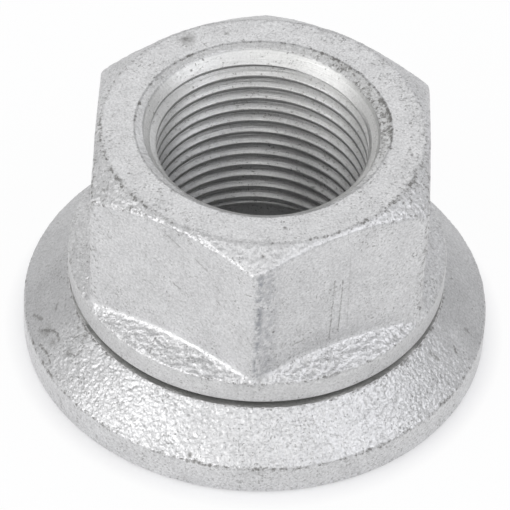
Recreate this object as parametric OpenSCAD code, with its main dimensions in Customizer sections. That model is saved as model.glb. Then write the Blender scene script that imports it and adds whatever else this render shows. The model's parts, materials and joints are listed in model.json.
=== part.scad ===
// Wheel nut for a commercial vehicle: a forged hexagon nut with a round collar, and a
// conical pressure washer that turns freely under it. A thin spigot on the nut runs
// through the washer's bore, and its flared end keeps the two together.
// Z = 0 is the washer's seating face, and +Z follows the thread to the nut's free end.

/* [Thread] */
// Nominal diameter of the metric thread
thread_d = 22; // [20:0.5:22.5]
// Pitch of the thread, a fine one
thread_pitch = 1.5; // [1:0.25:2]
// Diameter of the countersink where it opens in the nut's top face
countersink_d = 24.6; // [23.5:0.1:27]
// Angle of the countersink's wall from the horizontal
countersink_angle = 45; // [30:1:60]
// Diameter of the plain bore below the thread, which clears the stud's shank
counterbore_d = 22.6; // [22.6:0.1:23.6]
// Length of the plain bore, from the spigot's end to the thread
counterbore_depth = 4.5; // [4:0.1:7]

/* [Hexagon] */
// Width across the hexagon's flats
across_flats = 32; // [31.5:0.1:32.2]
// Radius on the hexagon's upright corners
corner_r = 1; // [0.4:0.1:2]
// Height of the nut above the collar's band
hexagon_height = 15.95; // [12:0.05:20]
// Diameter of the flat ring at the top, inside the corner chamfer
top_face_d = 31.1; // [29:0.1:31.4]
// Angle of the corner chamfer from the horizontal
chamfer_angle = 34; // [20:1:45]

/* [Collar] */
// Diameter of the nut's round collar
collar_d = 37.2; // [37:0.1:38]
// Height of the collar's upright band
collar_band = 2.4; // [1.5:0.1:4]
// Chamfer on the collar's lower edge
collar_chamfer = 0.7; // [0.3:0.1:1.2]
// Angle of the forged cone that runs from the collar up to the flats
collar_angle = 30; // [15:1:45]

/* [Washer] */
// Outside diameter of the pressure washer
washer_d = 46; // [44:0.5:50]
// Height of the washer's upright rim
washer_rim = 3.5; // [2.5:0.1:5]
// Angle of the washer's forged cone from the horizontal
washer_angle = 42; // [36:1:48]
// Chamfer round the washer's seating face
washer_chamfer = 0.4; // [0.2:0.1:0.8]
// Angle of the seat that the nut presses on, from the horizontal
seat_angle = 15; // [8:1:20]
// Depth of the upright wall of the recess in the seating face, which hides the spigot's end
recess_depth = 1.6; // [1.2:0.1:2]

/* [Spigot] */
// Diameter of the spigot that the washer turns on
spigot_d = 26.4; // [26:0.1:27]
// Diameter of the spigot's flared end
flare_d = 28.8; // [28.4:0.1:29.6]
// Diameter of the flare's mouth at the spigot's end
flare_mouth_d = 25.2; // [24:0.1:26.4]
// Distance of the spigot's end above the seating face
end_gap = 0.8; // [0.3:0.1:1]

/* [Clearances] */
// Gap between the nut's underside and the washer's seat, and at the flare
running_gap = 0.3; // [0.2:0.05:0.4]
// Gap all round between the spigot and the washer's bore
bore_gap = 0.3; // [0.2:0.05:0.4]
// Gap all round between the flare and the recess
recess_gap = 0.8; // [0.5:0.1:1.2]

/* [Hidden] */
$fn = 96;
corner_steps = 6;
overcut = 1;

// Radii of the bore
minor_r = thread_d / 2 - thread_pitch * 5 * sqrt(3) / 16;
countersink_r = countersink_d / 2;
counterbore_r = counterbore_d / 2;
mouth_r = flare_mouth_d / 2;

// Radii of the nut
flat_r = across_flats / 2;
point_r = flat_r / cos(30);
collar_r = collar_d / 2;
spigot_r = spigot_d / 2;
flare_r = flare_d / 2;

// Radii of the washer, which follow the nut
washer_r = washer_d / 2;
seat_r = collar_r;
washer_bore_r = spigot_r + bore_gap;
recess_r = flare_r + recess_gap;

// Heights, from the seating face up
seat_z = washer_rim + (washer_r - seat_r) * tan(washer_angle);
recess_top = recess_depth + recess_r - washer_bore_r;
flare_line = recess_r + recess_depth - running_gap * sqrt(2);
counterbore_z = end_gap + counterbore_depth;
collar_low = under_z(collar_r - collar_chamfer) + collar_chamfer;
collar_high = collar_low + collar_band;
top_z = collar_high + hexagon_height;
countersink_z = top_z - (countersink_r - minor_r) * tan(countersink_angle);

// Height of the washer's seat, and of the nut's underside over it, at a radius
function seat_height(r) = seat_z - (seat_r - r) * tan(seat_angle);
function under_z(r) = seat_height(r) + running_gap / cos(seat_angle);

// Hexagon with round corners, one corner towards -Y
function rounded_hexagon(flat, r) = [
    for (corner = [0 : 5], step = [0 : corner_steps])
        let (
            turn = corner * 60 - 90,
            sweep = turn - 30 + 60 * step / corner_steps,
            centre = (flat - r) / cos(30)
        )
        [centre * cos(turn) + r * cos(sweep), centre * sin(turn) + r * sin(sweep)]
];

// Hexagon with its corners chamfered by one cone
module hexagon_block() {
    chamfer_low = top_z - (point_r - top_face_d / 2) * tan(chamfer_angle);
    intersection() {
        translate([0, 0, collar_low + collar_band / 2])
            linear_extrude(top_z - collar_low - collar_band / 2)
                polygon(rounded_hexagon(flat_r, corner_r));
        rotate_extrude()
            polygon([
                [0, 0],
                [point_r + overcut, 0],
                [point_r + overcut, chamfer_low - overcut * tan(chamfer_angle)],
                [top_face_d / 2, top_z],
                [0, top_z]
            ]);
    }
}

// Round part of the forging: the collar, its cone, the underside and the flared spigot
module collar_and_spigot() {
    cone_top_r = flat_r - corner_r;
    rotate_extrude()
        polygon([
            [0, end_gap],
            [flare_r, end_gap],
            [flare_r, flare_line - flare_r],
            [spigot_r, flare_line - spigot_r],
            [spigot_r, under_z(spigot_r)],
            [collar_r - collar_chamfer, under_z(collar_r - collar_chamfer)],
            [collar_r, collar_low],
            [collar_r, collar_high],
            [cone_top_r, collar_high + (collar_r - cone_top_r) * tan(collar_angle)],
            [0, collar_high + (collar_r - cone_top_r) * tan(collar_angle)]
        ]);
}

// Everything that is bored out: countersink, thread at its minor diameter, shank bore, flare
module bore() {
    mouth_depth = mouth_r - counterbore_r;
    rotate_extrude()
        polygon([
            [0, end_gap - overcut],
            [mouth_r + overcut, end_gap - overcut],
            [counterbore_r, end_gap + mouth_depth],
            [counterbore_r, counterbore_z],
            [minor_r, counterbore_z + counterbore_r - minor_r],
            [minor_r, countersink_z],
            [countersink_r + overcut / tan(countersink_angle), top_z + overcut],
            [0, top_z + overcut]
        ]);
}

module nut_body() {
    color([0.77, 0.78, 0.78])
        difference() {
            union() {
                hexagon_block();
                collar_and_spigot();
            }
            bore();
        }
}

module pressure_washer() {
    color([0.72, 0.73, 0.73])
        rotate_extrude()
            polygon([
                [recess_r, 0],
                [washer_r - washer_chamfer, 0],
                [washer_r, washer_chamfer],
                [washer_r, washer_rim],
                [seat_r, seat_z],
                [washer_bore_r, seat_height(washer_bore_r)],
                [washer_bore_r, recess_top],
                [recess_r, recess_depth]
            ]);
}

nut_body();
pressure_washer();
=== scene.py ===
import json
import math

import bmesh
import bpy
import numpy as np
from mathutils import Matrix, Vector, noise


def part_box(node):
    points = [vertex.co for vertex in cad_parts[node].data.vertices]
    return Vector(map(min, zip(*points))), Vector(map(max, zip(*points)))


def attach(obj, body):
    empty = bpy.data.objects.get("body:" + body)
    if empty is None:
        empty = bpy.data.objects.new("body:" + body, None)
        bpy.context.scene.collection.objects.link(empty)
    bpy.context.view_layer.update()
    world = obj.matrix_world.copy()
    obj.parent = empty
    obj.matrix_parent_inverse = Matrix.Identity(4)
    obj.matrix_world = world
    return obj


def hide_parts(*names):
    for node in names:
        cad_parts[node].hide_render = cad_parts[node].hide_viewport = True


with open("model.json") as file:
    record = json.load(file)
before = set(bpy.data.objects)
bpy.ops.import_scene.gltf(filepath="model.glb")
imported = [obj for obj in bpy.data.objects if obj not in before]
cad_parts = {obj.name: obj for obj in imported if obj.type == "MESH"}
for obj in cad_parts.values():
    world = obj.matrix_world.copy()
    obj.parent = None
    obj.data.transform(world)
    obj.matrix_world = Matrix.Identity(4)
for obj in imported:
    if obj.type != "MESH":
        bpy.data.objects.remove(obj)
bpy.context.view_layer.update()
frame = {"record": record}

mm = 0.001
nutLow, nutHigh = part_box("nut_body")
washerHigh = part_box("pressure_washer")[1]
mounts = {mount["name"]: mount for mount in frame["record"]["mounts"]}

# sizes that the frame gives, in mm
topZ = nutHigh.z / mm
spigotEndZ = nutLow.z / mm
collarR = nutHigh.x / mm
washerR = washerHigh.x / mm
seatEdgeZ = washerHigh.z / mm
minorR = mounts["stud_thread"]["dims"]["r_mm"]

# camera that sees the part as the photograph does, in mm and degrees
photoCamera = {
    "elevation": 44.98,
    "azimuth": -0.25,
    "roll": -2.78,
    "distance": 375.4,
    "aimSide": -0.22,
    "aimHeight": 9.43,
    "lens": 269.1,
    "sensor": 36.0,
    "nearest": 10,
    "farthest": 100000,
}

# what both pieces share where they meet, in mm and degrees
washerFit = {
    "seatAngle": 15.0,
    "runningGap": 0.3,
    "bore": 13.5,
    "recess": 15.2,
    "recessDepth": 1.6,
}

# the forged nut, in mm and degrees
nutForging = {
    "flat": 16.0,                 # half the width across flats
    "cornerRound": 1.0,
    "topRing": 15.55,             # outer radius of the flat ring at the top
    "chamferAngle": 34.0,
    "countersink": 12.3,          # radius where the countersink opens
    "countersinkAngle": 45.0,
    "turnedCone": 11.94,          # radius where the turned part of its cone would open
    "chatter": (180, 0.05),       # ribs in one turn that the tool left on it, and their depth
    "counterbore": 11.3,
    "counterboreTop": 5.3,
    "mouth": 12.6,                # flare at the spigot's end
    "spigot": 13.2,
    "flare": 14.4,
    "collarChamfer": 0.7,
    "collarBand": 2.4,
    "collarAngle": 30.0,
    "columnsPerCorner": 90,
    "cornerShare": 0.35,          # lower draws the columns closer to the corners, and so does
    "cornerPower": 1.6,           # a higher power
}

# what wear did to the upright corners, in degrees round from the front corner: the middle, the
# width and the strength of a rubbed band, of the fainter band beside it, and of the side corners'
# rough skin and grime
cornerWear = {
    "rubbed": (1.1, 1.5, 1.2),
    "faded": (4.0, 4.0, 1.0),
    "fadedShare": 0.6,
    "rough": (60.0, 2.5, 1.3),
    "roughSkin": 0.45,
    "roughGrime": 0.5,
}

# the metric thread: where a crest's middle lies on the side away from the camera, and the
# places along one pitch, from 0 at a crest's middle, where the profile has a point
thread = {
    "pitch": 1.5,
    "major": 11.0,
    "crestHeight": 16.38,
    "crestAngle": 90.0,
    "rootRound": 0.8,             # share of the depth where the flank starts to curve into the root
    "gloom": 0.45,                # painted shade of its lowest turns, where less light gets in
    "gloomPower": 3,              # higher brings that shade further up
    "grooveTop": 8.0,             # power that keeps a root's shade narrow, in the top turn
    "grooveFall": 5.5,            # how much lower that power is in the lowest turn
    "halfCrest": 1 / 8,           # half a crest's flat, as a share of the pitch
    "samples": (0.105, 0.145, 0.33, 0.385, 0.44, 0.50, 0.61, 0.855, 0.895),
}

# the conical pressure washer, in mm
washerForging = {
    "rim": 3.5,
    "chamfer": 0.4,
    "hiddenSeat": 1.6,            # how far under the collar its visible skin reaches
    "columns": 960,
}

# how the nut changes round its axis: (degrees from +X, share), or mm for the first three, which
# are how far the mouth's edge lies inside the countersink, the width of its forged band, and how
# deep that band ends. The others are lines of grime (topEdge, mouthEdge, collarEdge), grime all
# over (topSpecks, mouthBand, chamfer, burr), forging relief (chamferSkin, burrLumps, collarLumps),
# the tool's ribs (chatter), painted shade on the thread (threadGloom), and steel in the corners'
# feet, in mm (cornerFill)
nutAround = {
    "mouthIn": ((-150, 0.0), (-135, 0.05), (-120, 0.15), (-90, 0.15), (-62, 0.18), (-50, 0.33),
                (-40, 0.33), (-20, 0.27), (-10, 0.1), (0, 0.0)),
    "mouthBandWidth": ((-175, 0.75), (-150, 0.85), (-135, 0.72), (-120, 0.45), (-90, 0.3), (-62, 0.3),
                       (-45, 0.45), (-20, 0.85), (0, 1.1), (45, 1.0), (68, 0.8), (90, 0.62),
                       (135, 0.6), (165, 0.66)),
    "mouthBandDepth": ((-175, 0.4), (-150, 0.42), (-135, 0.35), (-120, 0.32), (-90, 0.29),
                       (-62, 0.26), (-45, 0.3), (-20, 0.37), (0, 0.5), (55, 0.5), (90, 0.27),
                       (135, 0.25), (165, 0.32)),
    "topEdge": ((-166, 0.75), (-140, 0.85), (-118, 0.7), (-98, 0.4), (-80, 0.35), (-68, 0.75),
                (-30, 0.8), (-15, 0.35), (30, 0.2), (90, 0.12), (118, 0.35), (150, 0.5), (170, 0.5)),
    "topSpecks": ((-150, 0.05), (-60, 0.05), (-15, 0.35), (35, 0.3), (70, 0.1)),
    "mouthEdge": ((-160, 0.45), (-135, 0.35), (-90, 0.1), (-50, 0.3), (-22, 0.6), (10, 0.85),
                  (60, 0.85), (85, 0.5), (115, 0.55), (140, 1.0), (168, 1.0), (180, 0.6)),
    "mouthBand": ((-160, 0.0), (-30, 0.1), (-12, 0.65), (5, 0.85), (50, 0.8), (75, 0.4),
                  (120, 0.2), (165, 0.25)),
    "chamfer": ((-168, 0.3), (-150, 0.4), (-132, 0.2), (-110, 0.0), (-60, 0.0), (-38, 0.4),
                (-24, 0.55), (0, 0.3), (90, 0.0), (150, 0.15)),
    "threadGloom": ((-180, 1.45), (-90, 1.2), (0, 1.15), (45, 0.85), (90, 0.65), (135, 0.9),
                    (165, 1.35)),
    "chatter": ((-60, 0.0), (100, 0.0), (118, 1.0), (160, 1.0), (176, 0.0)),
    "chamferSkin": ((-150, 0.45), (-126, 0.4), (-119, 0.8), (-108, 0.9), (-101, 0.25), (-60, 0.2),
                    (-40, 0.4), (30, 0.25), (150, 0.3)),
    "burr": ((-168, 0.7), (-150, 0.9), (-120, 0.65), (-98, 0.35), (-82, 0.2), (-50, 0.3), (-30, 0.55),
             (30, 0.3), (150, 0.4)),
    "burrLumps": ((-160, 0.4), (-150, 0.65), (-135, 0.8), (-124, 0.9), (-117, 1.5), (-110, 1.7),
                  (-102, 0.5), (-80, 0.15), (-35, 0.1), (30, 0.2), (150, 0.4)),
    "cornerFill": ((-150, 0.9), (-90, 0.3), (-30, 0.6), (30, 0.5), (150, 0.6)),
    "collarEdge": ((-180, 0.6), (-162, 0.6), (-150, 0.3), (-115, 0.35), (-92, 0.7), (-68, 0.75),
                   (-50, 0.4), (30, 0.2), (150, 0.2)),
    "collarLumps": ((-150, 0.3), (-115, 0.6), (-92, 0.9), (-68, 0.9), (-45, 0.4), (30, 0.3),
                    (150, 0.3)),
}

# the same for the washer: grime on the cone, painted shade on the cone's sides (coneShade),
# forging relief, and lines of grime along the rim and beside the seat, the latter also painted
# shade of the gap under the collar
washerAround = {
    "cone": ((-180, 0.15), (-165, 0.25), (-152, 0.45), (-138, 0.25), (-122, 0.02), (-60, 0.05),
             (-38, 0.3), (-15, 0.12), (30, 0.05), (90, 0.1), (150, 0.1)),
    "coneShade": ((-180, 0.25), (-165, 0.2), (-150, 0.08), (-130, 0.0), (-50, 0.0), (-20, 0.1),
                  (0, 0.27), (30, 0.25), (60, 0.15), (120, 0.15), (150, 0.25)),
    "coneSkin": ((-180, 0.12), (-163, 0.25), (-150, 0.7), (-130, 0.95), (-112, 0.9), (-95, 0.75),
                 (-60, 0.85), (-38, 1.0), (-20, 0.6), (0, 0.25), (90, 0.4), (150, 0.25)),
    "rimEdge": ((-170, 0.5), (-140, 0.6), (-115, 0.35), (-104, 0.85), (-90, 0.85), (-75, 0.5),
                (-56, 0.7), (-40, 0.4), (-30, 0.4), (30, 0.3), (150, 0.35)),
    # the seat's line is grime and painted shade of the dark gap under the collar
    "seatEdge": ((-162, 0.6), (-150, 1.0), (-138, 0.75), (-115, 0.45), (-90, 0.55), (-60, 0.45),
                 (-40, 0.7), (-28, 0.95), (-10, 0.95), (5, 0.4), (90, 0.3), (180, 0.3)),
}


def tangent(degrees):
    return math.tan(math.radians(degrees))


def around(angles, table):
    # a value that changes round the part
    places, values = zip(*sorted((degrees % 360, value) for degrees, value in table))
    return np.interp(np.degrees(angles) % 360, places, values, period=360)


def seatHeight(radius):
    return seatEdgeZ - (collarR - radius) * tangent(washerFit["seatAngle"])


def undersideHeight(radius):
    slope = math.radians(washerFit["seatAngle"])
    return seatHeight(radius) + washerFit["runningGap"] / math.cos(slope)


# Rings of points round the axis, and the bands of faces between them

# what each point of a skin is marked with, mostly from 0 to 1: height of the forging's relief,
# grime all over and in a line along the edge (beside the washer's seat also painted shade of the
# gap), machined finish, rubbed coating, and painted shade (groove), as in the thread's grooves
markNames = ("skin", "grime", "line", "turned", "wear", "groove")


def marked(**shares):
    return tuple(shares.get(name, 0.0) for name in markNames)


hiddenFace = marked(grime=0.2, turned=1.0)


def newSkin():
    return {"points": [], "marks": [], "faces": [], "count": 0}


def addRing(skin, angles, radius, height, marks, closed=True):
    radius, height, *marks = (np.broadcast_to(item, angles.shape) for item in (radius, height, *marks))
    points = np.stack([radius * np.cos(angles), radius * np.sin(angles), height], -1)
    skin["points"].append(points * mm)
    skin["marks"].append(np.stack(marks, -1))
    ids = np.arange(skin["count"], skin["count"] + len(angles))
    skin["count"] += len(angles)
    return np.append(ids, ids[0]) if closed else ids


def addBand(skin, before, after):
    if len(before) == len(after):
        for i in range(len(before) - 1):
            skin["faces"].append((after[i], after[i + 1], before[i + 1], before[i]))
        return
    few, many = (before, after) if len(before) < len(after) else (after, before)
    for i in range(len(few) - 1):    # two columns run into one
        face = (few[i], few[i + 1], many[2 * i + 2], many[2 * i + 1], many[2 * i])
        skin["faces"].append(face)


def roundedProfile(corners, arcs, counts):
    # corners are (radius, height, tangent length, marks of the stretch that follows, and what
    # the marks gain in the middle of the corner's arc); arcs are the rings on each corner's arc,
    # and counts the steps along each stretch
    mostOfStretch = 0.42    # share of a stretch that the arc at its end may take
    rings = []
    last = len(corners) - 1
    ends = [np.stack(np.broadcast_arrays(corner[0], corner[1]), -1) for corner in corners]
    start = ends[0]
    for k in range(1, last + 1):
        marks = corners[k - 1][3]
        into = ends[k] - ends[k - 1]
        lengthIn = np.linalg.norm(into, axis=-1, keepdims=True)
        stop = ends[k]
        if k < last:
            out = ends[k + 1] - ends[k]
            lengthOut = np.linalg.norm(out, axis=-1, keepdims=True)
            reach = np.minimum(corners[k][2], mostOfStretch * np.minimum(lengthIn, lengthOut))
            stop = ends[k] - into / lengthIn * reach
        for share in np.linspace(0, 1, counts[k - 1] + 1):
            rings.append((start * (1 - share) + stop * share, marks))
        if k < last:
            leave = ends[k] + out / lengthOut * reach
            gain = corners[k][4] if len(corners[k]) > 4 else marked()
            for share in np.linspace(0, 1, arcs[k - 1] + 2)[1:-1]:
                bend = stop * (1 - share) ** 2 + 2 * ends[k] * share * (1 - share)
                peak = 4 * share * (1 - share)
                mixed = [a * (1 - share) + b * share + more * peak
                         for a, b, more in zip(marks, corners[k][3], gain)]
                rings.append((bend + leave * share ** 2, mixed))
            start = leave
    return rings


def finishSkin(skin, name):
    samePlace = 4e-7    # in metres: points closer than this are one
    noLength = 1e-7
    mesh = bpy.data.meshes.new(name)
    points = np.concatenate(skin["points"])
    marks = np.concatenate(skin["marks"])
    mesh.from_pydata(points.tolist(), [], [tuple(int(i) for i in face) for face in skin["faces"]])
    for index, mark in enumerate(markNames):
        layer = mesh.attributes.new(mark, "FLOAT", "POINT")
        layer.data.foreach_set("value", marks[:, index].astype(np.float32))
    work = bmesh.new()
    work.from_mesh(mesh)
    bmesh.ops.remove_doubles(work, verts=work.verts, dist=samePlace)
    bmesh.ops.dissolve_degenerate(work, edges=work.edges, dist=noLength)
    bmesh.ops.recalc_face_normals(work, faces=work.faces)
    work.to_mesh(mesh)
    work.free()
    mesh.shade_smooth()
    piece = bpy.data.objects.new(name, mesh)
    bpy.context.scene.collection.objects.link(piece)
    return piece


def readPoints(mesh, what):
    values = np.zeros(len(mesh.vertices) * 3, np.float32)
    mesh.vertices.foreach_get(what, values)
    return values.reshape(-1, 3)


def readMark(mesh, mark):
    values = np.zeros(len(mesh.vertices), np.float32)
    mesh.attributes[mark].data.foreach_get("value", values)
    return values


def forgingRelief(piece, look):
    # hammered skin of a drop forging, moved along the normals: broad unevenness, and facets
    # with sharp creases and ridges, drawn out down the slope where the steel flowed
    mesh = piece.data
    points = readPoints(mesh, "co") / mm
    normals = readPoints(mesh, "normal")
    skin = readMark(mesh, "skin")
    radius = np.hypot(points[:, 0], points[:, 1])
    squeezed = look["flowRadius"] + (radius - look["flowRadius"]) / look["flow"]
    flowed = points.copy()
    flowed[:, :2] *= (squeezed / radius)[:, None]
    flowed[:, 2] /= look["flow"]
    # each piece takes its own part of the noise
    shift = Vector((look["seed"], look["seed"] * 0.7, look["seed"] * 1.3))
    roughness, lacunarity, octaves = 1.0, 2.0, 2
    noRelief = 0.01
    fine = np.zeros(len(points))
    broad = np.zeros(len(points))
    for i in np.nonzero(skin > noRelief)[0]:
        place = Vector(flowed[i])
        crease = abs(noise.noise(place / look["facet"] + shift))
        ridge = abs(noise.noise(place / look["ridge"] - shift))
        small = noise.noise(place / look["small"] + shift)
        fine[i] = (crease - ridge) * look["facetDepth"] + small * look["smallDepth"]
        place = Vector(points[i]) / look["broad"] + shift
        broad[i] = noise.fractal(place, roughness, lacunarity, octaves)
    height = (fine + broad * look["broadDepth"]) * skin
    for x, y, z, reach, depth in look["dents"]:
        far = np.linalg.norm(points - np.array((x, y, z)), axis=1) / reach
        height -= depth * np.exp(-far ** 2)
    points += normals * height[:, None]
    mesh.vertices.foreach_set("co", (points * mm).astype(np.float32).ravel())
    # how deep a point lies in a crease, for the dirt and painted shade there
    hollow = mesh.attributes.new("hollow", "FLOAT", "POINT")
    depth = np.clip(-fine * np.minimum(skin, 1) / look["hollowDepth"] - look["hollowFrom"], 0, 1)
    hollow.data.foreach_set("value", depth.astype(np.float32))
    mesh.update()


# The nut: hexagon, collar, spigot and threaded bore in one skin

# the forging's relief: sizes and heights in mm. A crease counts as hollow from hollowFrom times
# hollowDepth, flow draws the facets out down the slope on both sides of flowRadius, and dents
# are (x, y, z, reach, depth)
nutRelief = {
    "seed": 11.3,
    "broad": 2.4,
    "broadDepth": 0.05,
    "facet": 0.62,
    "ridge": 0.5,
    "facetDepth": 0.15,
    "small": 0.36,
    "smallDepth": 0.04,
    "hollowFrom": 0.25,
    "hollowDepth": 0.08,
    "flow": 1.15,
    "flowRadius": 18.0,
    "dents": (
        (0.1, -18.2, 16.6, 0.25, 0.08),
        (-0.1, -18.2, 13.2, 0.3, 0.08),
        (5.4, 14.6, 26.6, 0.6, 0.12),
    ),
}


def columnAngles(perCorner, cornerShare, power):
    step = np.arange(perCorner) / perCorner * 2 - 1
    reach = cornerShare * np.abs(step) + (1 - cornerShare) * np.abs(step) ** power
    offset = np.sign(step) * reach * math.pi / 6
    return np.concatenate([offset + corner * math.pi / 3 - math.pi / 2 for corner in range(6)])


def hexagonRadius(angles):
    flat = nutForging["flat"]
    cornerRound = nutForging["cornerRound"]
    fromCorner = np.abs((angles + math.pi / 2 + math.pi / 6) % (math.pi / 3) - math.pi / 6)
    centre = (flat - cornerRound) / math.cos(math.pi / 6)
    touch = math.atan2(cornerRound * 0.5, centre + cornerRound * math.cos(math.pi / 6))
    side = np.sqrt(np.maximum(cornerRound ** 2 - (centre * np.sin(fromCorner)) ** 2, 0))
    onCorner = centre * np.cos(fromCorner) + side
    return np.where(fromCorner < touch, onCorner, flat / np.cos(math.pi / 6 - fromCorner))


def mouthRadius(angles):
    return nutForging["countersink"] - around(angles, nutAround["mouthIn"])


def mouthRim(angles):
    # radius and height of the edge between the forged band and the turned cone
    count, depth = nutForging["chatter"]
    ribs = depth * np.sin(angles * count) * around(angles, nutAround["chatter"])
    width = around(angles, nutAround["mouthBandWidth"]) + ribs
    return mouthRadius(angles) - width, topZ - around(angles, nutAround["mouthBandDepth"])


def turnedHeight(radius):
    return topZ - (nutForging["turnedCone"] - radius) * tangent(nutForging["countersinkAngle"])


def collarBand():
    # heights of its lower and upper edges
    low = undersideHeight(collarR - nutForging["collarChamfer"]) + nutForging["collarChamfer"]
    return low, low + nutForging["collarBand"]


def wornBand(fromMiddle, width, strength):
    return np.clip(strength - np.abs(fromMiddle) / width, 0, 1)


def nutProfile(angles):
    nut = nutForging
    hexR = hexagonRadius(angles)
    collarLow, collarHigh = collarBand()
    chamferZ = topZ - (hexR - nut["topRing"]) * tangent(nut["chamferAngle"])
    leafZ = collarHigh + (collarR - hexR) * tangent(nut["collarAngle"])
    corner = (hexR - nut["flat"]) / (hexR.max() - nut["flat"])
    leafZ += around(angles, nutAround["cornerFill"]) * corner ** 2
    gap = washerFit["runningGap"] * math.sqrt(2)
    flareLine = washerFit["recess"] + washerFit["recessDepth"] - gap
    mouthZ = spigotEndZ + nut["mouth"] - nut["counterbore"]
    mouth = mouthRadius(angles)
    rim, rimZ = mouthRim(angles)
    topMiddle = (nut["countersink"] + nut["topRing"]) / 2
    share = {name: around(angles, table) for name, table in nutAround.items()}
    fromFront = np.degrees(angles) % 360 - 270
    middle, width, strength = cornerWear["rubbed"]
    wear = wornBand(fromFront - middle, width, strength)
    middle, width, strength = cornerWear["faded"]
    wear = np.maximum(wear, cornerWear["fadedShare"] * wornBand(fromFront - middle, width, strength))
    middle, width, strength = cornerWear["rough"]
    rough = wornBand(np.abs(fromFront) - middle, width, strength)
    mouthMarks = marked(skin=0.45, grime=share["mouthBand"], line=share["mouthEdge"], turned=0.3)
    visible = [
        (rim, rimZ, 0, mouthMarks),
        # painted shade along the middle of the mouth edge's rounded arc (groove mark)
        (mouth, topZ, 0.16, marked(skin=0.35, line=share["mouthEdge"]), marked(groove=0.45)),
        (topMiddle, topZ, 0.1, marked(skin=0.4, grime=share["topSpecks"], line=share["topEdge"])),
        (nut["topRing"], topZ, 0.4,
         marked(skin=share["chamferSkin"], grime=share["chamfer"], line=share["topEdge"]),
         marked(skin=0.2)),
        (hexR, chamferZ, 0.4,
         marked(skin=0.12 + cornerWear["roughSkin"] * rough,
                grime=0.08 + cornerWear["roughGrime"] * rough, wear=wear),
         marked(skin=share["burrLumps"], grime=share["burr"] * 0.5)),
        (hexR, leafZ, 0.45, marked(skin=0.85, grime=0.1, line=share["collarEdge"]), marked(skin=-0.1)),
        (collarR, collarHigh, 0.25, marked(skin=0.1, grime=0.1, line=share["collarEdge"], turned=0.3),
         marked(skin=share["collarLumps"])),
        (collarR, collarLow, 0.15, marked(turned=0.5, grime=0.2)),
        (collarR - nut["collarChamfer"], undersideHeight(collarR - nut["collarChamfer"]), 0, None),
    ]
    hidden = [
        (visible[-1][0], visible[-1][1], 0, hiddenFace),
        (nut["spigot"], undersideHeight(nut["spigot"]), 0.2, hiddenFace),
        (nut["spigot"], flareLine - nut["spigot"], 0.2, hiddenFace),
        (nut["flare"], flareLine - nut["flare"], 0.2, hiddenFace),
        (nut["flare"], spigotEndZ, 0.25, hiddenFace),
        (nut["mouth"], spigotEndZ, 0.15, hiddenFace),
        # the counterbore's wall takes painted shade (groove mark)
        (nut["counterbore"], mouthZ, 0.3, marked(grime=0.2, turned=1.0, groove=0.4)),
        (nut["counterbore"], nut["counterboreTop"], 0.1, marked(grime=0.2, turned=1.0, groove=0.4)),
        (thread["major"], nut["counterboreTop"] + nut["counterbore"] - thread["major"], 0, None),
    ]
    outside = roundedProfile(visible, arcs=(3, 0, 3, 4, 4, 3, 2), counts=(5, 6, 6, 16, 20, 15, 6, 2))
    inside = roundedProfile(hidden, arcs=(1, 1, 1, 1, 1, 1, 1), counts=(4, 3, 2, 2, 3, 2, 5, 1))
    return outside, inside


def threadDepth(place):
    # share of the thread's depth: 60 degree flanks, flat crests and round roots
    flank = (min(place, 1 - place) - thread["halfCrest"]) * thread["pitch"] * math.sqrt(3)
    flank /= thread["major"] - minorR
    start = thread["rootRound"]
    bend = min(max(flank - start, 0) / (2 * (1 - start)), 1)
    return min(max(flank, 0), start) + (1 - start) * (1 - (1 - bend) ** 2)


def addThread(skin, angles, lowZ, highZ):
    # a right-hand helix: the rings follow it, so each crest and root keeps its own edge
    pitch = thread["pitch"]
    depth = thread["major"] - minorR
    turned = np.append(angles, angles[0])
    turns = np.append(angles, angles[0] + 2 * math.pi) / (2 * math.pi)
    crest = thread["crestHeight"] - pitch * thread["crestAngle"] / 360
    first = math.floor((lowZ - crest) / pitch - turns[-1]) - 1
    last = math.ceil((highZ - crest) / pitch - turns[0]) + 1
    cone = tangent(nutForging["countersinkAngle"])
    rings = []
    for turn in range(first, last):
        for place in thread["samples"]:
            height = np.clip(crest + pitch * (turn + place + turns), lowZ, highZ)
            share = threadDepth(place)
            leadIn = thread["major"] - (highZ - height) / cone
            leadOut = thread["major"] - (height - lowZ)
            radius = np.maximum(minorR + depth * share, np.maximum(leadIn, leadOut))
            under = highZ - height
            deepness = under / (highZ - lowZ)
            # painted shade: darker in the roots and down towards the lowest turns, more at the sides
            # than the back
            gloom = thread["gloom"] * (1 - (1 - deepness) ** thread["gloomPower"])
            gloom *= around(turned, nutAround["threadGloom"])
            narrow = thread["grooveTop"] - thread["grooveFall"] * deepness
            shade = np.maximum(gloom, share ** narrow * np.clip(under / pitch, 0, 1))
            marks = marked(grime=0.1, turned=1.0, groove=shade)
            rings.append(addRing(skin, turned, radius, height, marks, closed=False))
    return rings


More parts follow.
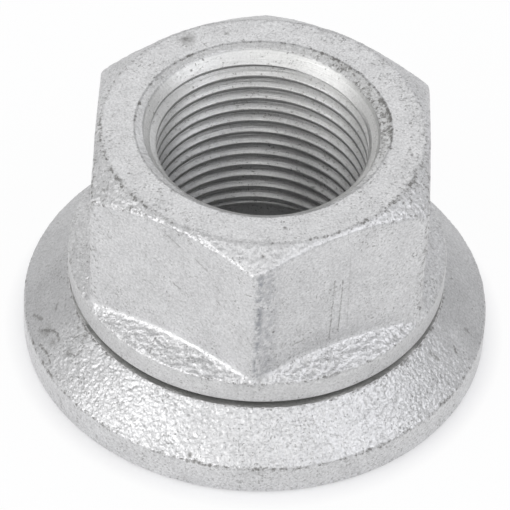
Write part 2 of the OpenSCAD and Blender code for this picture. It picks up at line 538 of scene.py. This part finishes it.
def makeNut():
    nut = nutForging
    angles = columnAngles(nut["columnsPerCorner"], nut["cornerShare"], nut["cornerPower"])
    few = angles[::2]
    skin = newSkin()
    outside, inside = nutProfile(angles)
    rings = []
    for ends, marks in outside[:-1]:
        rings.append(addRing(skin, angles, ends[..., 0], ends[..., 1], marks))
    for ends, marks in inside[:-1]:
        rings.append(addRing(skin, few, ends[..., 0], ends[..., 1], marks))
    lowZ = nut["counterboreTop"] + nut["counterbore"] - thread["major"]
    highZ = turnedHeight(thread["major"])
    helix = addThread(skin, few, lowZ, highZ)
    # painted shade on the bore's wall below the thread (groove mark)
    rings.append(addRing(skin, few, thread["major"], lowZ, marked(grime=0.2, turned=1.0, groove=0.6)))
    for before, after in zip(rings, rings[1:]):
        addBand(skin, before, after)
    for before, after in zip(helix, helix[1:]):
        addBand(skin, before, after)
    mouth = []
    rim, rimZ = mouthRim(few)
    # rings up the turned cone, the last of them scored as a fine line beside the rim
    for share, scored in ((0.0, 0.0), (0.35, 0.0), (0.7, 0.0), (0.88, 0.4)):
        radius = thread["major"] + (rim - thread["major"]) * share
        height = highZ + (rimZ - highZ) * share
        mouth.append(addRing(skin, few, radius, height, marked(turned=1.0, groove=scored)))
    mouth.append(rings[0])
    for before, after in zip(mouth, mouth[1:]):
        addBand(skin, before, after)
    return finishSkin(skin, "forged_nut")


# The washer: forged cone and rim, turned seat, bore and recess

washerRelief = {
    "seed": 47.9,
    "broad": 3.0,
    "broadDepth": 0.06,
    "facet": 0.37,
    "ridge": 0.29,
    "facetDepth": 0.08,
    "small": 0.23,
    "smallDepth": 0.03,
    "hollowFrom": 0.25,
    "hollowDepth": 0.065,
    "flow": 1.4,
    "flowRadius": 20.8,
    "dents": (
        (19.6, -5.9, 5.9, 0.4, -0.1),
        (19.9, -6.6, 5.5, 0.4, 0.08),
        (-18.6, -5.6, 6.6, 0.35, 0.08),
    ),
}


def makeWasher():
    washer = washerForging
    fit = washerFit
    angles = np.arange(washer["columns"]) / washer["columns"] * 2 * math.pi - math.pi / 2
    few = angles[::2]
    skin = newSkin()
    recessTop = fit["recessDepth"] + fit["recess"] - fit["bore"]
    hideR = collarR - washer["hiddenSeat"]
    middleR = (collarR + washerR) / 2
    middleZ = (seatEdgeZ + washer["rim"]) / 2
    share = {name: around(angles, table) for name, table in washerAround.items()}
    # painted shade on the cone's sides, carried by the groove mark
    cone = {"skin": share["coneSkin"], "grime": share["cone"], "groove": share["coneShade"]}
    visible = [
        (hideR, seatHeight(hideR), 0, marked(turned=1.0, grime=0.15)),
        (collarR, seatEdgeZ, 0.12, marked(**cone, line=share["seatEdge"]), marked(skin=0.8)),
        (middleR, middleZ, 0.1, marked(**cone, line=share["rimEdge"])),
        (washerR, washer["rim"], 0.22, marked(skin=0.15, grime=0.28, line=share["rimEdge"]),
         marked(skin=0.5)),
        (washerR, washer["chamfer"], 0.15, marked(skin=0.2, grime=0.2, turned=0.5)),
        (washerR - washer["chamfer"], 0, 0, None),
    ]
    hidden = [
        (washerR - washer["chamfer"], 0, 0, hiddenFace),
        (fit["recess"], 0, 0.1, hiddenFace),
        (fit["recess"], fit["recessDepth"], 0.2, hiddenFace),
        (fit["bore"], recessTop, 0.2, hiddenFace),
        (fit["bore"], seatHeight(fit["bore"]), 0.2, hiddenFace),
        (hideR, seatHeight(hideR), 0, None),
    ]
    rings = []
    for ends, marks in roundedProfile(visible, arcs=(2, 0, 4, 2), counts=(5, 24, 24, 14, 2))[:-1]:
        rings.append(addRing(skin, angles, ends[..., 0], ends[..., 1], marks))
    for ends, marks in roundedProfile(hidden, arcs=(1, 1, 1, 1), counts=(12, 3, 3, 4, 6))[:-1]:
        rings.append(addRing(skin, few, ends[..., 0], ends[..., 1], marks))
    rings.append(rings[0])
    for before, after in zip(rings, rings[1:]):
        addBand(skin, before, after)
    return finishSkin(skin, "forged_washer")


# Materials


def srgb(code):
    channels = [int(code[i:i + 2], 16) / 255 for i in (1, 3, 5)]
    linear = [c / 12.92 if c <= 0.04045 else ((c + 0.055) / 1.055) ** 2.4 for c in channels]
    return (*linear, 1.0)


def addNode(tree, kind, inputs=(), output=0, **settings):
    # inputs go by place or by name: a socket among them is linked, anything else is set
    node = tree.nodes.new("ShaderNode" + kind)
    for setting, value in settings.items():
        setattr(node, setting, value)
    for key, value in inputs.items() if isinstance(inputs, dict) else enumerate(inputs):
        if isinstance(value, bpy.types.NodeSocket):
            tree.links.new(value, node.inputs[key])
        else:
            node.inputs[key].default_value = value
    return node.outputs[output] if node.outputs else node


def newMaterial(name):
    material = bpy.data.materials.new(name)
    material.use_nodes = True
    material.node_tree.nodes.clear()
    return material, material.node_tree


# zinc flake coating over forged steel, dipped and baked: a matt, faintly sparkling light grey,
# dark where grime stays in the edges and pits, with painted shade in the forging's creases and
# the grooves, and thin where tools rubbed it
zincFlake = {
    "light": "#E1E1E2",
    "dark": "#C1C1C2",
    "machined": "#DCDCD9",
    "groove": "#4C4E54",          # bluish painted shade in grooves, counterbore, mouth edge, washer cone sides; a scored line
    "grime": "#57554F",
    "rubbed": "#8E9096",
    "metallic": 0.85,
    "roughness": 0.44,
    "dirtyRoughness": 0.75,
    # (size in mm, detail, roughness); the real flakes are finer than a pixel, so the grain is
    # drawn coarser
    "patterns": {
        "grain": (0.22, 1.5, 0.6),
        "mottle": (2.6, 4.0, 0.6),
        "peel": (0.4, 1.2, 0.5),
        "speck": (0.26, 2.0, 0.6),
        "cluster": (3.5, 2.0, 0.5),
        "pit": (0.34, 4.0, 0.65),
        "blotch": (0.75, 4.0, 0.65),
        "wobble": (0.5, 2.0, 0.5),
    },
    # how a pattern turns into an amount: (from, to, amount at from, amount at to)
    "ranges": {
        "tone": (0.5, 0.95, 0.0, 1.0),
        "speckStart": (0.35, 0.65, 0.70, 0.60),
        "speck": (0.0, 0.06, 0.0, 0.45),
        "scratch": (0.68, 0.74, 0.0, 0.3),
        "gap": (0.38, 0.50, 0.0, 1.0),
        "stain": (0.38, 0.58, 0.2, 1.6),
        "patch": (0.40, 0.62, 0.35, 1.25),
        "dirt": (0.62, 0.82, 0.0, 0.68),
        "rub": (0.42, 0.58, 0.0, 0.8),
        "peelHeight": (0.0, 1.0, 0.1, 1.2),
        "peel": (0.3, 0.7, 0.0, 1.0),
    },
    "mottling": 0.45,             # how much of it is added to the grain
    "machinedTone": 0.5,          # how far turned faces take the machined colour
    "lineWobble": 0.6,            # how far a line of grime wanders, in mm
    "grimeShare": 0.27,           # how far grime spreads out of the pits
    "hollowShade": 0.32,          # darkness in the forging's creases: dirt and painted shade
    "grooveShade": 0.7,           # strength of the painted shade
    "bump": 0.05,                 # height of the finest relief, in mm
    "grainBump": 0.2,             # what the grain, the tool's rings and the dirt add to it
    "toolBump": 0.6,
    "dirtBump": -0.8,
    "scratchLength": 3.2,         # scratches all over, in mm
    "scratchWidth": 0.16,
    "scratchTurn": (0.62, 0.30, 0.35),
    "scratchCore": 0.3,           # share of a drawn scratch's width that is fully dark
    "lineCore": 0.2,              # the same for a line of grime
    "ragSize": 0.3,               # how ragged a drawn scratch is, in mm
    "ragReach": 0.3,
    "toolMark": 0.14,             # spacing of the tool's rings, in mm
}

# marks that the photograph shows, in mm: scratches and creases are (start, end, width, darkness),
# and stains are (centre, reach, darkness)
nutScratches = (
    ((-8.05, -13.82, 19.28), (-7.08, -14.38, 18.71), 0.12, 0.5),
    ((-3.63, -16.37, 19.48), (-3.24, -16.58, 19.06), 0.12, 0.45),
    ((-1.14, -17.81, 22.05), (-0.50, -18.15, 22.15), 0.13, 0.6),
    ((-8.84, -13.37, 25.27), (-7.29, -14.26, 24.28), 0.13, 0.4),
    ((-5.84, -15.10, 23.63), (-4.48, -15.88, 22.66), 0.14, 0.3),
    ((8.09, -13.79, 20.29), (7.95, -13.88, 13.73), 0.10, 0.5),
    ((7.33, -14.24, 20.70), (7.13, -14.34, 13.06), 0.10, 0.45),
    ((8.67, -13.47, 23.60), (8.80, -13.39, 13.70), 0.09, 0.25),
    ((3.62, -16.38, 14.00), (5.29, -15.40, 14.19), 0.12, 0.35),
    ((-8.96, -13.65, 11.98), (-9.52, -14.19, 11.53), 0.11, 0.55),
    ((-9.52, -14.19, 11.53), (-9.87, -15.28, 10.91), 0.11, 0.55),
)
nutStains = (
    ((-7.91, 12.14, 26.62), 1.2, 0.4),
    ((-3.94, 13.14, 26.63), 0.35, 0.5),
    ((0.45, -16.59, 25.92), 0.28, 0.7),
    ((2.38, -13.50, 26.63), 0.25, 0.6),
    ((2.27, -12.70, 26.63), 0.15, 0.5),
    ((1.74, -17.45, 16.77), 0.22, 0.6),
    ((-12.6, -9.6, 24.6), 0.35, 0.6),
)
washerScratches = (
    ((-21.07, -6.64, 4.31), (-19.22, -7.82, 5.51), 0.28, 0.65),
    ((-19.22, -7.82, 5.51), (-18.96, -8.87, 5.36), 0.22, 0.6),
    ((-21.71, -4.56, 4.23), (-20.85, -5.58, 4.77), 0.26, 0.5),
    ((-19.49, -5.32, 6.01), (-19.33, -4.74, 6.27), 0.18, 0.5),
    ((-18.17, -10.41, 5.33), (-17.15, -11.25, 5.72), 0.18, 0.6),
    ((-17.15, -11.25, 5.72), (-16.41, -10.67, 6.56), 0.18, 0.55),
    ((-20.86, -8.34, 3.96), (-19.98, -9.72, 4.20), 0.20, 0.65),
    ((-19.98, -9.72, 4.20), (-19.72, -10.63, 4.03), 0.18, 0.6),
    ((19.64, -7.35, 5.31), (19.86, -7.73, 5.01), 0.24, 0.6),
    ((20.76, -4.59, 5.06), (21.29, -4.65, 4.58), 0.32, 0.5),
    ((17.20, -9.37, 6.56), (18.13, -9.59, 5.72), 0.24, 0.5),
)
washerStains = (
    ((-20.46, -7.02, 4.74), 1.1, 0.5),
    ((-19.55, -8.74, 4.90), 0.7, 0.5),
    ((-17.97, -10.51, 5.44), 0.6, 0.5),
    ((-16.37, -9.78, 7.03), 0.5, 0.6),
    ((-5.59, -21.84, 3.90), 0.4, 0.5),
)


def zincFlakeCoat(name, look, lines, scratches, stains):
    material, tree = newMaterial(name)
    ranges = look["ranges"]
    metres = addNode(tree, "TexCoord", output="Object")
    place = addNode(tree, "VectorMath", {0: metres, "Scale": 1 / mm}, operation="SCALE")
    flat = addNode(tree, "VectorMath", (place, (1, 1, 0)), operation="MULTIPLY")
    radius = addNode(tree, "VectorMath", (flat,), "Value", operation="LENGTH")
    height = addNode(tree, "VectorMath", (place, (0, 0, 1)), "Value", operation="DOT_PRODUCT")
    marks = {mark: addNode(tree, "Attribute", output="Fac", attribute_name=mark)
             for mark in (*markNames, "hollow")}
    pattern = {}
    for key, (size, detail, rough) in look["patterns"].items():
        inputs = {"Vector": place, "Scale": 1 / size, "Detail": detail, "Roughness": rough}
        pattern[key] = addNode(tree, "TexNoise", inputs)

    # tone: grain and broad mottling
    tone = (pattern["mottle"], look["mottling"], pattern["grain"])
    tone = addNode(tree, "Math", tone, operation="MULTIPLY_ADD")
    tone = addNode(tree, "MapRange", (tone, *ranges["tone"]))
    inputs = {0: tone, 6: srgb(look["dark"]), 7: srgb(look["light"])}
    colour = addNode(tree, "Mix", inputs, 2, data_type="RGBA")
    cut = addNode(tree, "Math", (marks["turned"], look["machinedTone"]), operation="MULTIPLY")
    inputs = {0: cut, 6: colour, 7: srgb(look["machined"])}
    colour = addNode(tree, "Mix", inputs, 2, data_type="RGBA")

    # fine specks that come in clusters, and thin scratches
    start = addNode(tree, "MapRange", (pattern["cluster"], *ranges["speckStart"]))
    speck = addNode(tree, "Math", (pattern["speck"], start), operation="SUBTRACT")
    speck = addNode(tree, "MapRange", (speck, *ranges["speck"]))
    drawn = addNode(tree, "Mapping", {"Vector": place, "Rotation": look["scratchTurn"]})
    stretch = (1 / look["scratchWidth"], 1 / look["scratchWidth"], 1 / look["scratchLength"])
    drawn = addNode(tree, "VectorMath", (drawn, stretch), operation="MULTIPLY")
    drawn = addNode(tree, "TexNoise", {"Vector": drawn, "Scale": 1.0, "Detail": 1.0})
    scratch = addNode(tree, "MapRange", (drawn, *ranges["scratch"]))
    coated = addNode(tree, "Math", (1.0, marks["turned"]), operation="SUBTRACT")
    scratch = addNode(tree, "Math", (scratch, coated), operation="MULTIPLY")

    # marks drawn one by one, with ragged edges and gaps
    rag = {"Vector": place, "Scale": 1 / look["ragSize"], "Detail": 2.0}
    rag = addNode(tree, "TexNoise", rag, "Color")
    rag = addNode(tree, "VectorMath", (rag, (0.5, 0.5, 0.5)), operation="SUBTRACT")
    ragged = addNode(tree, "VectorMath", (rag, [look["ragReach"]] * 3, place), operation="MULTIPLY_ADD")
    single = 0.0
    for begin, end, width, strength in scratches:
        axis = Vector(end) - Vector(begin)
        away = addNode(tree, "VectorMath", (ragged, begin), operation="SUBTRACT")
        along = addNode(tree, "VectorMath", (away, axis), "Value", operation="DOT_PRODUCT")
        along = (along, 1 / axis.length_squared)
        along = addNode(tree, "Math", along, operation="MULTIPLY", use_clamp=True)
        back = addNode(tree, "VectorMath", {0: axis, "Scale": along}, operation="SCALE")
        far = addNode(tree, "VectorMath", (away, back), "Value", operation="DISTANCE")
        near = (far, look["scratchCore"] * width, width, strength, 0.0)
        near = addNode(tree, "MapRange", near)
        single = addNode(tree, "Math", (near, single), operation="MAXIMUM")
    gaps = addNode(tree, "MapRange", (pattern["pit"], *ranges["gap"]))
    single = addNode(tree, "Math", (single, gaps), operation="MULTIPLY")
    stain = 0.0
    for centre, reach, strength in stains:
        far = addNode(tree, "VectorMath", (place, centre), "Value", operation="DISTANCE")
        near = addNode(tree, "MapRange", (far, 0.0, reach, strength, 0.0))
        stain = addNode(tree, "Math", (near, stain), operation="MAXIMUM")
    spread = addNode(tree, "MapRange", (pattern["blotch"], *ranges["stain"]))
    stain = addNode(tree, "Math", (stain, spread), operation="MULTIPLY")

    # grime: gathers along the edges, and in pits
    line = 0.0
    wobble = look["lineWobble"]
    core = look["lineCore"]
    for ringRadius, ringHeight, width in lines:
        across = addNode(tree, "Math", (radius, ringRadius), operation="SUBTRACT")
        upward = addNode(tree, "Math", (height, ringHeight), operation="SUBTRACT")
        offset = addNode(tree, "CombineXYZ", (across, upward))
        far = addNode(tree, "VectorMath", (offset,), "Value", operation="LENGTH")
        far = addNode(tree, "Math", (pattern["wobble"], wobble, far), operation="MULTIPLY_ADD")
        near = addNode(tree, "MapRange", (far, wobble / 2 + width, wobble / 2 + core * width))
        line = addNode(tree, "Math", (near, line), operation="MAXIMUM")
    line = addNode(tree, "Math", (line, marks["line"]), operation="MULTIPLY")
    amount = addNode(tree, "Math", (line, marks["grime"]), operation="ADD")
    patchy = addNode(tree, "MapRange", (pattern["blotch"], *ranges["patch"]))
    amount = addNode(tree, "Math", (amount, patchy), operation="MULTIPLY")
    dirt = (amount, look["grimeShare"], pattern["pit"])
    dirt = addNode(tree, "Math", dirt, operation="MULTIPLY_ADD")
    dirt = addNode(tree, "MapRange", (dirt, *ranges["dirt"]))
    # creases: dirt and painted shade, both in the grime colour
    hollow = addNode(tree, "Math", (marks["hollow"], look["hollowShade"]), operation="MULTIPLY")

    dark = hollow
    for mark in (speck, scratch, single, stain, dirt):
        dark = addNode(tree, "Math", (dark, mark), operation="MAXIMUM")
    rub = addNode(tree, "MapRange", (pattern["blotch"], *ranges["rub"]))
    rub = addNode(tree, "Math", (rub, marks["wear"]), operation="MULTIPLY")
    # the groove mark paints shade in the bluish shade colour
    shade = addNode(tree, "Math", (marks["groove"], look["grooveShade"]), operation="MULTIPLY")
    for share, finish in ((rub, "rubbed"), (shade, "groove"), (dark, "grime")):
        inputs = {0: share, 6: colour, 7: srgb(look[finish])}
        colour = addNode(tree, "Mix", inputs, 2, data_type="RGBA")

    # relief too fine for the mesh: orange peel, flakes, pits, and rings from the cutting tool
    depth = addNode(tree, "MapRange", (marks["skin"], *ranges["peelHeight"]))
    peel = addNode(tree, "MapRange", (pattern["peel"], *ranges["peel"]))
    bumps = addNode(tree, "Math", (peel, depth), operation="MULTIPLY")
    section = addNode(tree, "CombineXYZ", (radius, height))
    tool = addNode(tree, "TexNoise", {"Vector": section, "Scale": 1 / look["toolMark"]})
    tool = addNode(tree, "Math", (tool, marks["turned"]), operation="MULTIPLY")
    for relief, bump in ((pattern["grain"], "grainBump"), (tool, "toolBump"), (dark, "dirtBump")):
        bumps = addNode(tree, "Math", (relief, look[bump], bumps), operation="MULTIPLY_ADD")
    normal = addNode(tree, "Bump", {"Strength": 1.0, "Distance": look["bump"] * mm, "Height": bumps})
    rough = addNode(tree, "MapRange", (dark, 0.0, 1.0, look["roughness"], look["dirtyRoughness"]))
    inputs = {"Base Color": colour, "Metallic": look["metallic"], "Roughness": rough, "Normal": normal}
    shader = addNode(tree, "BsdfPrincipled", inputs)
    addNode(tree, "OutputMaterial", (shader,))
    return material


# matt white paper that is bright enough to fade into the background, apart from the shadow
# beside the part: its glow starts and is full at these radii, in mm
paper = {
    "colour": "#F3F3F5",
    "glow": 0.92,
    "glowFrom": 21.5,
    "glowFull": 25.0,
    "halfWidth": 3000,
    "below": 0.05,                # under the seating face
}


def whiteFloor():
    material, tree = newMaterial("white_paper_floor")
    seen = 0.0
    for ray in ("Is Camera Ray", "Is Glossy Ray", "Is Transmission Ray"):
        path = addNode(tree, "LightPath", output=ray)
        seen = addNode(tree, "Math", (path, seen), operation="MAXIMUM")
    place = addNode(tree, "TexCoord", output="Object")
    far = addNode(tree, "VectorMath", (place,), "Value", operation="LENGTH")
    fade = (far, paper["glowFrom"] * mm, paper["glowFull"] * mm, 0.0, paper["glow"])
    bare = addNode(tree, "MapRange", fade)
    share = addNode(tree, "Math", (seen, bare), operation="MULTIPLY")
    matt = addNode(tree, "BsdfDiffuse", {"Color": srgb(paper["colour"])})
    glow = addNode(tree, "Emission", {"Strength": 1.0})
    addNode(tree, "OutputMaterial", (addNode(tree, "MixShader", (share, matt, glow)),))
    return material


# Camera, floor and studio light


def towards(azimuth, elevation):
    # 0 degrees is the camera's side, 90 the right
    side = math.cos(math.radians(elevation))
    x = math.sin(math.radians(azimuth)) * side
    y = -math.cos(math.radians(azimuth)) * side
    return Vector((x, y, math.sin(math.radians(elevation))))


def aimFrom(back, up):
    right = up.cross(back).normalized()
    return Matrix((right, back.cross(right), back)).transposed().to_4x4()


def makeCamera(view):
    back = towards(view["azimuth"], view["elevation"])
    side = Vector((-back.y, back.x, 0)).normalized()
    roll = math.radians(view["roll"])
    up = back.cross(side) * math.cos(roll) + side * math.sin(roll)
    aim = side * view["aimSide"] + Vector((0, 0, view["aimHeight"]))
    data = bpy.data.cameras.new("photo_camera")
    data.lens = view["lens"]
    data.sensor_width = view["sensor"]
    data.clip_start = view["nearest"] * mm
    data.clip_end = view["farthest"] * mm
    camera = bpy.data.objects.new("photo_camera", data)
    bpy.context.scene.collection.objects.link(camera)
    camera.matrix_world = Matrix.Translation((aim + back * view["distance"]) * mm) @ aimFrom(back, up)
    bpy.context.scene.camera = camera


# soft light: the world's brightness, how far the softboxes stand in mm, and for each softbox its
# azimuth and elevation in degrees, size in mm, brightness against white, and colour
studio = {
    "world": 0.44,
    "distance": 700,
    "softboxes": {
        "top_light": (180, 50, 500, 0.89, "#FFFFFF"),
        "left_light": (-75, 40, 400, 1.45, "#FFFFFF"),
        "low_left_light": (-45, 18, 350, 4.0, "#FFFFFF"),
        "front_light": (0, 50, 400, 1.5, "#FFFFFF"),
        "right_light": (75, 40, 400, 1.9, "#FAFBFF"),
        "near_right_light": (38, 36, 350, 0.9, "#FAFBFF"),
        "back_left_light": (-143, 25, 300, 1.1, "#FFFFFF"),
        "back_right_light": (143, 25, 300, 0.95, "#FAFBFF"),
    },
}


def makeLights():
    for name, (azimuth, elevation, size, level, colour) in studio["softboxes"].items():
        data = bpy.data.lights.new(name, "AREA")
        data.size = size * mm
        data.energy = level * math.pi * data.size ** 2
        data.color = srgb(colour)[:3]
        lamp = bpy.data.objects.new(name, data)
        bpy.context.scene.collection.objects.link(lamp)
        back = towards(azimuth, elevation)
        place = back * studio["distance"] * mm
        lamp.matrix_world = Matrix.Translation(place) @ aimFrom(back, Vector((0, 0, 1)))
    world = bpy.data.worlds.new("studio")
    bpy.context.scene.world = world
    world.use_nodes = True
    tree = world.node_tree
    tree.nodes.clear()
    sky = addNode(tree, "Background", {"Color": (1, 1, 1, 1), "Strength": studio["world"]})
    white = addNode(tree, "Background", {"Color": (1, 1, 1, 1), "Strength": 1.0})
    seen = addNode(tree, "LightPath", output="Is Camera Ray")
    addNode(tree, "OutputWorld", (addNode(tree, "MixShader", (seen, sky, white)),))


def makeFloor():
    mesh = bpy.data.meshes.new("floor")
    half = paper["halfWidth"] * mm
    level = -paper["below"] * mm
    corners = [(x * half, y * half, level) for x, y in ((-1, -1), (1, -1), (1, 1), (-1, 1))]
    mesh.from_pydata(corners, [], [(0, 1, 2, 3)])
    floor = bpy.data.objects.new("floor", mesh)
    bpy.context.scene.collection.objects.link(floor)
    mesh.materials.append(whiteFloor())


def triangles(piece):
    return sum(len(face.vertices) - 2 for face in piece.data.polygons)


bpy.context.scene.view_settings.view_transform = "Standard"
makeCamera(photoCamera)
makeLights()
makeFloor()
print("camera, lights and floor are in place")

# where lines of grime run round the pieces: radius, height and width in mm
nutLines = (
    (nutForging["topRing"] + 0.05, topZ - 0.05, 0.32),
    (nutForging["countersink"], topZ, 0.24),
    (collarR, collarBand()[1], 0.22),
)
forgedNut = makeNut()
forgingRelief(forgedNut, nutRelief)
coat = zincFlakeCoat("zinc_flake_on_nut", zincFlake, nutLines, nutScratches, nutStains)
forgedNut.data.materials.append(coat)
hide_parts("nut_body")
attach(forgedNut, "nut")
print("nut is made,", triangles(forgedNut), "triangles")

# the line beside the seat is grime and painted shade of the gap under the collar
washerLines = ((washerR - 0.05, washerForging["rim"], 0.3), (collarR, seatEdgeZ, 0.35))
forgedWasher = makeWasher()
forgingRelief(forgedWasher, washerRelief)
coat = zincFlakeCoat("zinc_flake_on_washer", zincFlake, washerLines, washerScratches, washerStains)
forgedWasher.data.materials.append(coat)
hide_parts("pressure_washer")
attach(forgedWasher, "washer")
print("washer is made,", triangles(forgedWasher), "triangles")
